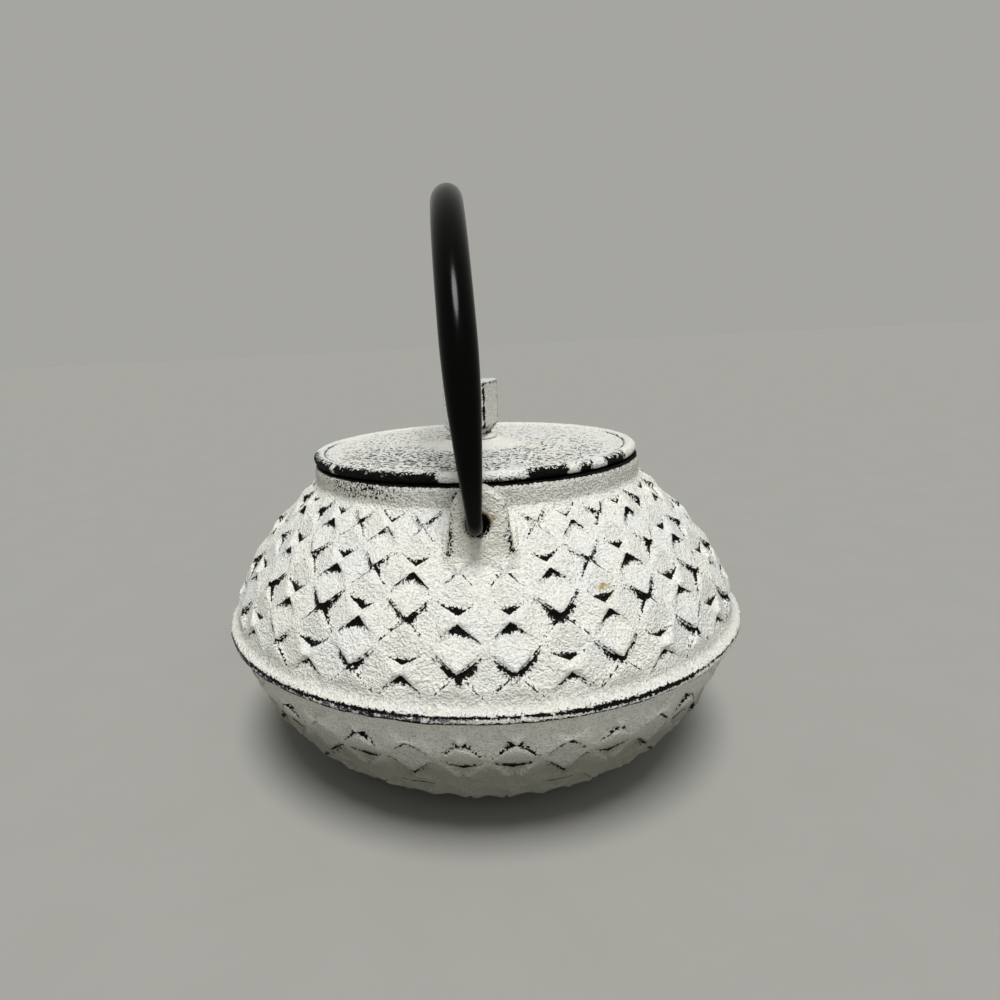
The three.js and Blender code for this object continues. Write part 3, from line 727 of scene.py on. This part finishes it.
def along_curve(spots, curve):
    """For spots of [radius, height]: the distance along the curve and the height off it, outward"""
    points, distances = curve
    tangents = np.gradient(points, axis=0)
    tangents /= np.linalg.norm(tangents, axis=1)[:, None]
    outward = np.stack([np.abs(tangents[:, 1]), np.abs(tangents[:, 0])], axis=1)
    outward[:, 1] *= np.sign(points[-1, 1] - points[0, 1])
    along = np.empty(len(spots))
    off = np.empty(len(spots))
    chunk = 20000
    for first in range(0, len(spots), chunk):
        some = spots[first:first + chunk]
        gap = some[:, None, :] - points[None, ::4, :]
        nearest = np.argmin((gap ** 2).sum(axis=2), axis=1) * 4
        step = some - points[nearest]
        along[first:first + chunk] = distances[nearest] + (step * tangents[nearest]).sum(axis=1)
        off[first:first + chunk] = (step * outward[nearest]).sum(axis=1)
    return along, off


def relief_rows(points):
    """The relief's row at each point, counted from the belly, the height off the body's curve in mm,
    and 1 on the shoulder or -1 on the bowl"""
    spots = np.stack([np.hypot(points[:, 0], points[:, 1]), points[:, 2]], axis=1)
    shoulder = curve_samples(BELLY, SHOULDER_PULL, COLLAR)
    bowl = curve_samples(BELLY, BOWL_PULL, FOOT)
    upper = points[:, 2] > BELLY[1]
    along_up, off_up = along_curve(spots, shoulder)
    along_low, off_low = along_curve(spots, bowl)
    shoulder_pitch = (shoulder[1][-1] - RELIEF_FROM) / RELIEF_ROWS
    bowl_pitch = (bowl[1][-1] - RELIEF_FROM - BOWL_PLAIN_BAND) / RELIEF_ROWS
    along = np.where(upper, along_up, along_low)
    row = (along - RELIEF_FROM) / np.where(upper, shoulder_pitch, bowl_pitch) - 0.5
    return row, np.where(upper, off_up, off_low), np.where(upper, 1.0, -1.0)


def thin_out(mesh, chosen, ratio):
    """Joins small faces where chosen is true, down to a share of the mesh's faces"""
    carrier = add_object("carrier", mesh)
    group = carrier.vertex_groups.new(name="chosen")
    group.add(np.nonzero(chosen)[0].tolist(), 1.0, "REPLACE")
    thin = carrier.modifiers.new("thin", "DECIMATE")
    thin.ratio = ratio
    thin.vertex_group = "chosen"
    view = bpy.context.evaluated_depsgraph_get()
    thinned = bpy.data.meshes.new_from_object(carrier.evaluated_get(view))
    bpy.data.objects.remove(carrier)
    bpy.data.meshes.remove(mesh)
    return thinned


def in_cavity(points, off):
    radius = np.hypot(points[:, 0], points[:, 1])
    hollow = (off < -WALL / 2) & (points[:, 2] > 3)
    return hollow | ((radius < RECESS_RADIUS + 0.3) & (points[:, 2] > 3))


def in_spout(points):
    centres, distances = curve_samples(SPOUT_ROOT, SPOUT_ELBOW, SPOUT_TIP, 60)
    narrowing = (SPOUT_TIP_RADIUS - SPOUT_ROOT_RADIUS) * distances / distances[-1]
    bores = SPOUT_ROOT_RADIUS + narrowing - SPOUT_WALL
    bore = np.zeros(len(points), bool)
    near = np.nonzero(points[:, 1] > SPOUT_ROOT[0] - 2)[0]
    gap = points[near, None, 1:] - centres[None]
    apart = (gap ** 2).sum(axis=2)
    nearest = np.argmin(apart, axis=1)
    from_centre = np.sqrt(apart[np.arange(len(near)), nearest] + points[near, 0] ** 2)
    bore[near] = from_centre < bores[nearest] + 0.8
    return bore


# Rust: the stain by the ears' holes, aside and above the pivot in mm, and a fleck on the shoulder,
# in degrees round from the front ear towards +X and in rows of the relief
RUST_STAIN = (2.1, 2.0)
RUST_FLECK = (26, 1.36)


def make_pot(material):
    mesh = evenly_meshed("pot_body", POT_VOXEL)
    points = read_points(mesh)
    row, off, upper = relief_rows(points)
    mesh = thin_out(mesh, in_cavity(points, off), CAVITY_SHARE)
    edges = edge_ends(mesh)
    points = relax(read_points(mesh), edges, 1, 0.6)
    write_points(mesh, points)
    normals = read_normals(mesh)
    row, off, upper = relief_rows(points)
    inside = in_cavity(points, off) | in_spout(points)
    across, along, height = np.abs(points[:, 0]), np.abs(points[:, 1]), points[:, 2]
    ear = (across < EAR_HALF_FOOT + 0.6) & (height > EAR_FOOT_HEIGHT + 0.5)
    ear &= (along > EAR_INNER_FACE - 0.6) & (along < EAR_OUTER_FACE + 0.7)
    grit = noise3(points, 1.9, 1) * 0.10 + noise3(points, 3.6, 2) * 0.08 + noise3(points, 7.5, 3) * 0.09
    grit += noise3(points, 1.6, 4) * 0.10 * ear
    wrinkles = noise3(points * (0.35, 0.35, 1), 1.5, 5) * 0.13
    grit += wrinkles * (upper < 0) * smoothstep(height, 24, 34)
    points = points + normals * np.where(inside, 0, grit)[:, None]
    points = keep_in_box(points, "pot_body")
    write_points(mesh, points)

    mouth = (points[:, 1] > SPOUT_MOUTH_FROM[0]) & (height > SPOUT_MOUTH_FROM[1])
    bare = np.where(mouth, (height - SPOUT_BARE_HEIGHT) * 1.2, -5)
    bare = np.maximum(bare, 3.0 - height)
    from_stain = np.hypot(points[:, 0] - RUST_STAIN[0], height - PIVOT_HEIGHT - RUST_STAIN[1])
    rust = ear * smoothstep(2.8 - from_stain, 0, 2) * 0.8
    angle = np.degrees(np.arctan2(points[:, 0], -points[:, 1]))
    from_fleck = np.hypot((angle - RUST_FLECK[0]) * 1.2, (row - RUST_FLECK[1]) * 11)
    rust = np.maximum(rust, (upper > 0) * smoothstep(2.3 - from_fleck, 0, 0.8))
    on_relief = (row > -0.5) & (row < RELIEF_ROWS - 0.45) & (np.abs(off) < 2.2) & ~ear & ~inside
    set_attribute(mesh, "row", row)
    set_attribute(mesh, "upper", upper)
    set_attribute(mesh, "relief", on_relief)
    set_attribute(mesh, "ear", ear)
    set_attribute(mesh, "pot", np.ones(len(points)))
    set_attribute(mesh, "bare", bare)
    set_attribute(mesh, "inside", inside)
    set_attribute(mesh, "rust", rust)
    add_piece("pot_casting", mesh, "pot_body", "pot", material)


# Lid castings

# Chips in the paint of the lid's rim, in degrees round from the front ear towards +X: from, to, and
# the height in mm above the seat that each reaches
RIM_CHIPS = (
    (-84, -54, 2.9),
    (-52, -11, 2.95),
    (3, 16, 0.5),
    (15.5, 28.5, 2.95),
    (33.3, 38.6, 2.7),
    (45.5, 57.5, 2.8),
)


def rim_chips(angle, points):
    """How far inside the bare patches of the lid's rim each point lies, in mm"""
    above = points[:, 2] - LID_SEAT
    radius = np.hypot(points[:, 0] - LID_X, points[:, 1])
    chips = np.full(len(points), -5.0)
    mm_per_degree = math.radians(LID_RADIUS)
    for start, end, reach in RIM_CHIPS:
        sideways = np.minimum(angle - start, end - angle) * mm_per_degree
        chips = np.maximum(chips, np.minimum(sideways, reach - above))
    hidden_side = smoothstep(noise3(points, 11, 32), 0.0, 0.2) * 3 - 2.4
    hidden_side = np.minimum(hidden_side, 1.6 - above)
    chips = np.where(np.abs(angle) > 75, np.maximum(chips, hidden_side), chips)
    return np.where(radius > LID_RADIUS - 2.2, chips, -5)


def make_lid(material):
    mesh = evenly_meshed("lid_plate", LID_VOXEL)
    edges = edge_ends(mesh)
    points = relax(read_points(mesh), edges, 2)
    write_points(mesh, points)
    normals = read_normals(mesh)
    aside = points[:, 0] - LID_X
    towards = -points[:, 1]
    radius = np.hypot(aside, towards)
    angle = np.degrees(np.arctan2(aside, towards))
    plate = LID_RADIUS - LID_RIM_WIDTH
    up = smoothstep(normals[:, 2], 0.5, 0.9)
    top = up * (radius < plate)
    stipple = noise3(points, 0.95, 21) * 0.10 + noise3(points, 1.9, 22) * 0.07
    stipple += noise3(points, 8, 23) * 0.05
    edge_grit = noise3(points, 1.1, 26) * 0.09 * (radius > plate) * (normals[:, 2] > -0.3)
    ring = np.exp(-((radius - plate) / 0.3) ** 2) * (normals[:, 2] > 0.3)
    points = points + normals * (stipple * top + edge_grit - 0.15 * ring)[:, None]
    points = keep_in_box(points, "lid_plate")
    write_points(mesh, points)

    bare = rim_chips(angle, points)
    under = (points[:, 2] < LID_SEAT + 0.35) & (normals[:, 2] < 0.5)
    under |= (normals[:, 2] < -0.5) & (radius < LID_RADIUS - 1)
    thick = 0.5 + 0.55 * smoothstep(towards, -20, 25) + noise3(points, 9, 25) * 0.14
    thick *= 1 - 0.25 * smoothstep(aside, -5, 25)
    thick *= 1 - 0.7 * smoothstep(np.abs(aside), 32, 44)
    thick *= 1 - 0.5 * smoothstep(radius, plate - 5, plate - 1)
    set_attribute(mesh, "bare", bare)
    set_attribute(mesh, "inside", under)
    set_attribute(mesh, "pits", top * thick * smoothstep(radius, 12, 19))
    set_attribute(mesh, "lid", np.ones(len(points)))
    add_piece("lid_casting", mesh, "lid_plate", "lid", material)


def make_knob(material):
    mesh = evenly_meshed("lid_knob", KNOB_VOXEL)
    edges = edge_ends(mesh)
    points = relax(read_points(mesh), edges, 1)
    write_points(mesh, points)
    normals = read_normals(mesh)
    grit = noise3(points, 1.2, 41) * 0.04 + noise3(points, 2.6, 42) * 0.05
    points = keep_in_box(points + normals * grit[:, None], "lid_knob")
    points[:, 2] -= KNOB_SINK * smoothstep(KNOB_FOOT + 0.25 - points[:, 2], 0, 0.2)
    write_points(mesh, points)
    turn = math.radians(KNOB_TURN)
    aside = points[:, 0] - LID_X
    across = np.abs(aside * math.cos(turn) + points[:, 1] * math.sin(turn))
    along = np.abs(-aside * math.sin(turn) + points[:, 1] * math.cos(turn))
    from_edge = np.minimum(across, along)
    sides = (np.maximum(across, along) > KNOB_HALF_WIDTH - 0.7) & (points[:, 2] > KNOB_CUBE_FOOT)
    edge = from_edge - (KNOB_HALF_WIDTH - 0.42) + noise3(points, 1.7, 43) * 0.3
    bare = np.where(sides & (aside > -3), edge, -5)
    line = 0.14 - np.abs(points[:, 2] - (KNOB_TOP - 0.85)) + noise3(points, 6, 44) * 0.07
    bare = np.maximum(bare, np.where(sides, line, -5))
    foot = 0.15 - np.abs(points[:, 2] - KNOB_CUBE_FOOT) + noise3(points, 3, 45) * 0.15
    near_corner = (from_edge > KNOB_HALF_WIDTH - 4.5) & (aside > -3)
    bare = np.maximum(bare, np.where(near_corner, foot + 0.12, -5))
    waist = 0.2 - np.abs(points[:, 2] - KNOB_WAIST) + noise3(points, 3, 46) * 0.1
    bare = np.maximum(bare, np.where((np.maximum(across, along) > 4.7) & (aside > -3), waist, -5))
    set_attribute(mesh, "bare", bare * 2.6)
    set_attribute(mesh, "knob", np.ones(len(points)))
    add_piece("knob_casting", mesh, "lid_knob", "lid", material)


# Bail handle

def bail_path():
    """Centre line in mm from one pin's tip to the other: [y, z] and the radius at each step"""
    arc = math.pi / 2 * BAIL_HALF_SPAN
    leg = BAIL_HEIGHT - BAIL_HALF_SPAN - PIVOT_HEIGHT - BAIL_BEND
    turn = math.pi / 2 * BAIL_BEND
    half = np.concatenate([
        np.linspace(0, arc, 70, endpoint=False),
        np.linspace(arc, arc + leg, 10, endpoint=False),
        np.linspace(arc + leg, arc + leg + turn, 14, endpoint=False),
        np.linspace(arc + leg + turn, arc + leg + turn + BAIL_PIN, 8),
    ])
    spots = []
    for distance in half:
        if distance <= arc:
            angle = distance / BAIL_HALF_SPAN
            drop = BAIL_HALF_SPAN * (1 - math.cos(angle))
            spots.append((BAIL_HALF_SPAN * math.sin(angle), BAIL_HEIGHT - drop))
        elif distance <= arc + leg:
            spots.append((BAIL_HALF_SPAN, BAIL_HEIGHT - BAIL_HALF_SPAN - (distance - arc)))
        elif distance <= arc + leg + turn:
            angle = (distance - arc - leg) / BAIL_BEND
            reach = BAIL_HALF_SPAN - BAIL_BEND * (1 - math.cos(angle))
            spots.append((reach, PIVOT_HEIGHT + BAIL_BEND * (1 - math.sin(angle))))
        else:
            spots.append((BAIL_HALF_SPAN - BAIL_BEND - (distance - arc - leg - turn), PIVOT_HEIGHT))
    share = np.clip((arc + leg - half) / BAIL_TAPER, 0, 1)
    radii = BAIL_TIP_RADIUS + (BAIL_RADIUS - BAIL_TIP_RADIUS) * np.sin(share * math.pi / 2)
    spots = np.array(spots)
    mirrored = spots[:0:-1] * (-1, 1)
    return np.vstack([mirrored, spots]), np.concatenate([radii[:0:-1], radii])


def make_bail(material):
    """The rod along its centre line, a hair thinner than the CAD node's"""
    spots, radii = bail_path()
    sides = BAIL_SIDES
    heading = np.gradient(spots, axis=0)
    heading /= np.linalg.norm(heading, axis=1)[:, None]
    around = np.linspace(0, 2 * math.pi, sides, endpoint=False)
    lean = math.radians(-BAIL_LEAN)
    rings = []
    for spot, ahead, radius in zip(spots, heading, radii * BAIL_SHRINK):
        across = radius * np.cos(around)
        up = radius * np.sin(around)
        y = spot[0] - up * ahead[1]
        z = spot[1] + up * ahead[0] - PIVOT_HEIGHT
        rings.append(np.stack([
            across * math.cos(lean) + z * math.sin(lean) + BAIL_X,
            y,
            -across * math.sin(lean) + z * math.cos(lean) + PIVOT_HEIGHT,
        ], axis=1))
    faces = grid_faces(len(rings), sides, closed=False).tolist()
    faces.append(list(reversed(range(sides))))
    faces.append(list(range((len(rings) - 1) * sides, len(rings) * sides)))
    mesh = closed_mesh("bail_rod", np.concatenate(rings), faces, "bail_handle")
    worn = 1 - smoothstep(np.repeat(radii, sides), BAIL_TIP_RADIUS, BAIL_TIP_RADIUS + 1.1)
    set_attribute(mesh, "worn", worn)
    add_piece("bail_rod", mesh, "bail_handle", "bail", material)


# Infuser and the lid's fittings

def softened(profile, reach, steps=4):
    """The closed profile of [radius, height] with each corner turned into a bend"""
    spots = np.array(profile, float)
    result = []
    for index, corner in enumerate(spots):
        before = spots[index - 1] - corner
        after = spots[(index + 1) % len(spots)] - corner
        start = corner + before / np.linalg.norm(before) * min(reach, np.linalg.norm(before) / 2)
        end = corner + after / np.linalg.norm(after) * min(reach, np.linalg.norm(after) / 2)
        for share in np.linspace(0, 1, steps):
            result.append((1 - share) ** 2 * start + 2 * share * (1 - share) * corner + share ** 2 * end)
    return np.array(result)


def add_infuser_piece(name, points, faces, node, material):
    mesh = closed_mesh(name, points, faces.tolist(), node)
    add_piece(name, mesh, node, "infuser", material)


def make_pressing(name, profile, node, material):
    """A turned steel ring with bends at its corners"""
    spots = softened(profile, PRESSED_BEND)
    turn = np.linspace(0, 2 * math.pi, PRESSED_STEPS, endpoint=False)[:, None]
    height = np.broadcast_to(spots[:, 1], (PRESSED_STEPS, len(spots)))
    rings = np.stack([spots[:, 0] * np.cos(turn), spots[:, 0] * np.sin(turn), height], axis=-1)
    add_infuser_piece(name, rings.reshape(-1, 3), grid_faces(PRESSED_STEPS, len(spots)), node, material)


def over_and_under(places):
    """A woven wire's height at half pitches, as 1 over a crossing, -1 under one and 0 between them"""
    return np.round(np.cos(places * math.pi / 2))


def wires(centres, first_way, second_way, closed):
    """Square-section wires along rows of points, with two directions across them at each point"""
    corners = []
    for turn in np.arange(4) * math.pi / 2:
        push = np.cos(turn) * first_way + np.sin(turn) * second_way
        corners.append(centres + push * WIRE_THICKNESS / 2)
    vertices = np.stack(corners, axis=2).reshape(-1, 3)
    count, length = centres.shape[:2]
    faces = [grid_faces(length, 4, wire * length * 4, closed) for wire in range(count)]
    if not closed:
        starts = np.arange(count)[:, None] * length * 4
        faces += [starts + [0, 1, 2, 3], starts + (length - 1) * 4 + [3, 2, 1, 0]]
    return vertices, np.concatenate(faces)


def make_wire_wall(material):
    radius = INFUSER_RADIUS - INFUSER_MESH_THICKNESS / 2
    lift = WIRE_THICKNESS / 2
    uprights = round(2 * math.pi * radius / WIRE_PITCH)
    levels = round((INFUSER_WALL_HIGH - INFUSER_WALL_LOW - WIRE_THICKNESS) / WIRE_PITCH)
    turn = np.arange(2 * uprights) * math.pi / uprights
    low, high = INFUSER_WALL_LOW + WIRE_THICKNESS / 2, INFUSER_WALL_HIGH - WIRE_THICKNESS / 2
    height = np.linspace(low, high, 2 * levels + 1)
    around = np.stack([np.cos(turn), np.sin(turn), np.zeros_like(turn)], axis=1)
    beside = np.stack([-np.sin(turn), np.cos(turn), np.zeros_like(turn)], axis=1)
    up = np.array([0.0, 0.0, 1.0])

    upright_sign = np.where(np.arange(uprights) % 2 == 0, 1, -1)[:, None]
    reach = radius + lift * over_and_under(np.arange(2 * levels + 1)) * upright_sign
    centres = reach[..., None] * around[::2][:, None, :] + height[None, :, None] * up
    first = np.broadcast_to(around[::2][:, None, :], centres.shape)
    second = np.broadcast_to(beside[::2][:, None, :], centres.shape)
    upright_vertices, upright_faces = wires(centres, first, second, False)

    level_sign = np.where(np.arange(levels + 1) % 2 == 0, -1, 1)[:, None]
    reach = radius + lift * over_and_under(np.arange(2 * uprights)) * level_sign
    centres = reach[..., None] * around[None, :, :] + height[::2][:, None, None] * up
    first = np.broadcast_to(around[None, :, :], centres.shape)
    second = np.broadcast_to(up, centres.shape)
    ring_vertices, ring_faces = wires(centres, first, second, True)

    vertices = np.concatenate([upright_vertices, ring_vertices])
    faces = np.concatenate([upright_faces, ring_faces + len(upright_vertices)])
    add_infuser_piece("infuser_wire_wall", vertices, faces, "infuser_wall", material)


def make_wire_base(material):
    radius = INFUSER_RADIUS - WIRE_THICKNESS
    middle = INFUSER_BASE_LOW + INFUSER_MESH_THICKNESS / 2
    reach = int(radius / WIRE_PITCH)
    up = np.array([0.0, 0.0, 1.0])
    all_vertices, all_faces = [], []
    total = 0
    for along_x in (True, False):
        way = np.array([1.0, 0.0, 0.0]) if along_x else np.array([0.0, 1.0, 0.0])
        across = np.array([0.0, 1.0, 0.0]) if along_x else np.array([1.0, 0.0, 0.0])
        for index in range(-reach, reach + 1):
            half = math.sqrt(radius ** 2 - (index * WIRE_PITCH) ** 2)
            steps = int(half / (WIRE_PITCH / 2))
            if steps < 1:
                continue
            places = np.arange(-steps, steps + 1)
            weave = over_and_under(places) * (-1) ** index * (1 if along_x else -1)
            centres = places[:, None] * (WIRE_PITCH / 2) * way + index * WIRE_PITCH * across
            centres = centres + (middle + weave * WIRE_THICKNESS / 2)[:, None] * up
            across_rows = np.broadcast_to(across, centres[None].shape)
            up_rows = np.broadcast_to(up, centres[None].shape)
            vertices, faces = wires(centres[None], across_rows, up_rows, False)
            all_vertices.append(vertices)
            all_faces.append(faces + total)
            total += len(vertices)
    vertices, faces = np.concatenate(all_vertices), np.concatenate(all_faces)
    add_infuser_piece("infuser_wire_base", vertices, faces, "infuser_base_mesh", material)


# Scene

make_camera()
make_world()
make_far_softbox("key", 67, 4, 22, 3.15)
make_far_softbox("front", 30, 15, 60, 0.55, mirrored=False)
floor_mesh = bpy.data.meshes.new("floor")
floor_corners = [(x * FLOOR_REACH, y * FLOOR_REACH, 0) for x, y in ((-1, -1), (1, -1), (1, 1), (-1, 1))]
floor_mesh.from_pydata(floor_corners, [], [(0, 1, 2, 3)])
floor_mesh.materials.append(floor_finish())
floor = add_object("floor", floor_mesh)

paint = chalk_paint()
make_pot(paint)
make_lid(paint)
make_knob(paint)
make_bail(lacquer())
pressed = steel("pressed_steel", (1, 1, 6), 0.26)
wire = steel("steel_wire", (1, 1, 1), 0.3)
make_pressing("infuser_pressed_rim", INFUSER_RIM, "infuser_rim", pressed)
make_pressing("infuser_pressed_cup", INFUSER_CUP, "infuser_cup", pressed)
make_wire_wall(wire)
make_wire_base(wire)
brushed = steel("brushed_steel", (1, 1, 8), 0.28)
for name in ("knob_screw", "knob_washer", "infuser_seam"):
    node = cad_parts[name]
    node.data.materials.clear()
    node.data.materials.append(brushed)

bpy.context.scene.view_settings.view_transform = "Standard"
